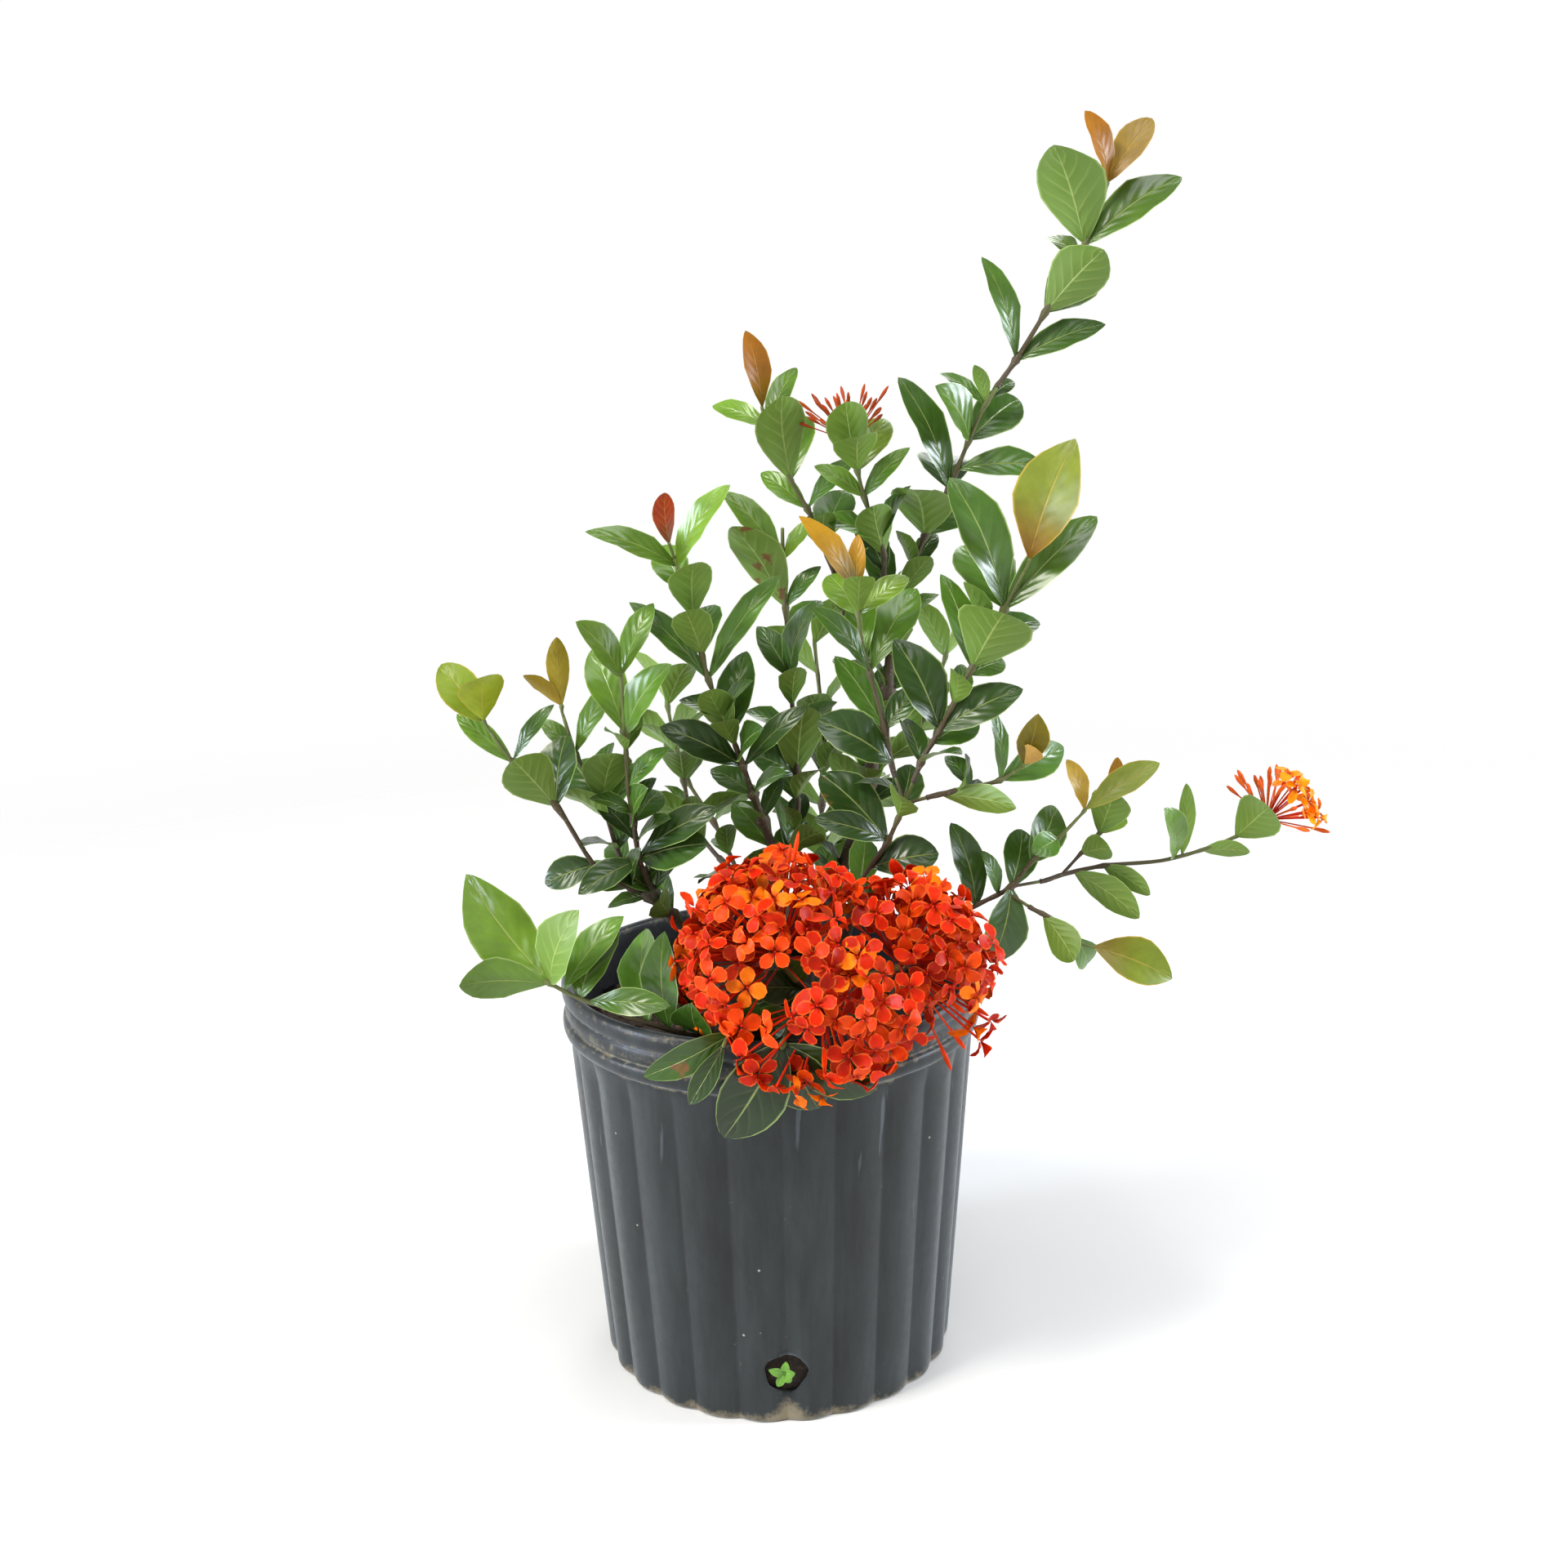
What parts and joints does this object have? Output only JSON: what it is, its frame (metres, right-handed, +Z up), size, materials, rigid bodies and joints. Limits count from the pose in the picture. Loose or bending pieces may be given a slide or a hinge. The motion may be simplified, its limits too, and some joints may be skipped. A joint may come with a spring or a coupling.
{
  "type": "potted ixora",
  "caption": "Young ixora shrub in a tall fluted nursery pot: thin woody stems with paired oval leaves, a low cluster of red-orange domed flowers over the front rim.",
  "frame": {"origin": "centre of the pot's flat resting face", "axes": "+Z up, along the pot's axis; -Y towards the front, where the flower cluster hangs over the rim; +X to the right, where the longest low branch reaches"},
  "size_m": [0.5566, 0.3343, 0.7901],
  "materials": {
    "pot_plastic": "black blow-moulded plastic weathered to slate grey, dusty at the foot and rim",
    "potting_mix": "damp dark mix of composted bark and peat, rough",
    "bark": "thin brown bark, dull",
    "leaf_green": "leathery leaves, dark and glossy above, paler and matt below",
    "young_leaf": "soft yellow-green new leaves, satin",
    "bronze_leaf": "newest leaves, bronze to orange, satin",
    "petal_red": "soft red-orange petals, matt",
    "seedling_green": "bright green seedling, satin"
  },
  "bodies": {
    "root": {"back_cane": "bark", "back_left_shoot": "leaf_green", "back_middle_shoot": "leaf_green", "back_right_shoot": "leaf_green", "bud_shoot": "leaf_green", "budding_head": "petal_red", "centre_shoot": "leaf_green", "centre_tip": "bronze_leaf", "drooping_shoot": "leaf_green", "drooping_tip": "young_leaf", "far_left_shoot": "leaf_green", "far_left_tip": "young_leaf", "far_right_cane": "bark", "far_right_shoot": "leaf_green", "flower_cane": "bark", "flower_cluster": "petal_red", "front_cane": "bark", "front_left_cane": "bark", "front_shoot_left": "leaf_green", "front_shoot_right": "leaf_green", "half_open_head": "petal_red", "inner_shoot": "leaf_green", "left_cane": "bark", "left_middle_shoot": "leaf_green", "left_shoot": "leaf_green", "left_tip": "bronze_leaf", "low_back_left_shoot": "leaf_green", "low_back_right_shoot": "leaf_green", "lower_right_shoot": "leaf_green", "lower_right_tip": "bronze_leaf", "middle_cane": "bark", "middle_shoot": "leaf_green", "middle_tip": "bronze_leaf", "nursery_pot": "pot_plastic", "potting_soil": "potting_mix", "right_cane": "bark", "right_shoot": "leaf_green", "right_shoot_base": "leaf_green", "right_tip": "young_leaf", "rim_shoot": "leaf_green", "short_branch_tip": "bronze_leaf", "side_shoot": "leaf_green", "side_tip": "bronze_leaf", "tall_cane": "bark", "tall_shoot_lower": "leaf_green", "tall_shoot_upper": "leaf_green", "tall_tip": "bronze_leaf", "upper_left_shoot": "leaf_green", "upper_left_tip": "bronze_leaf", "weed_seedling": "seedling_green"}
  },
  "joints": []
}
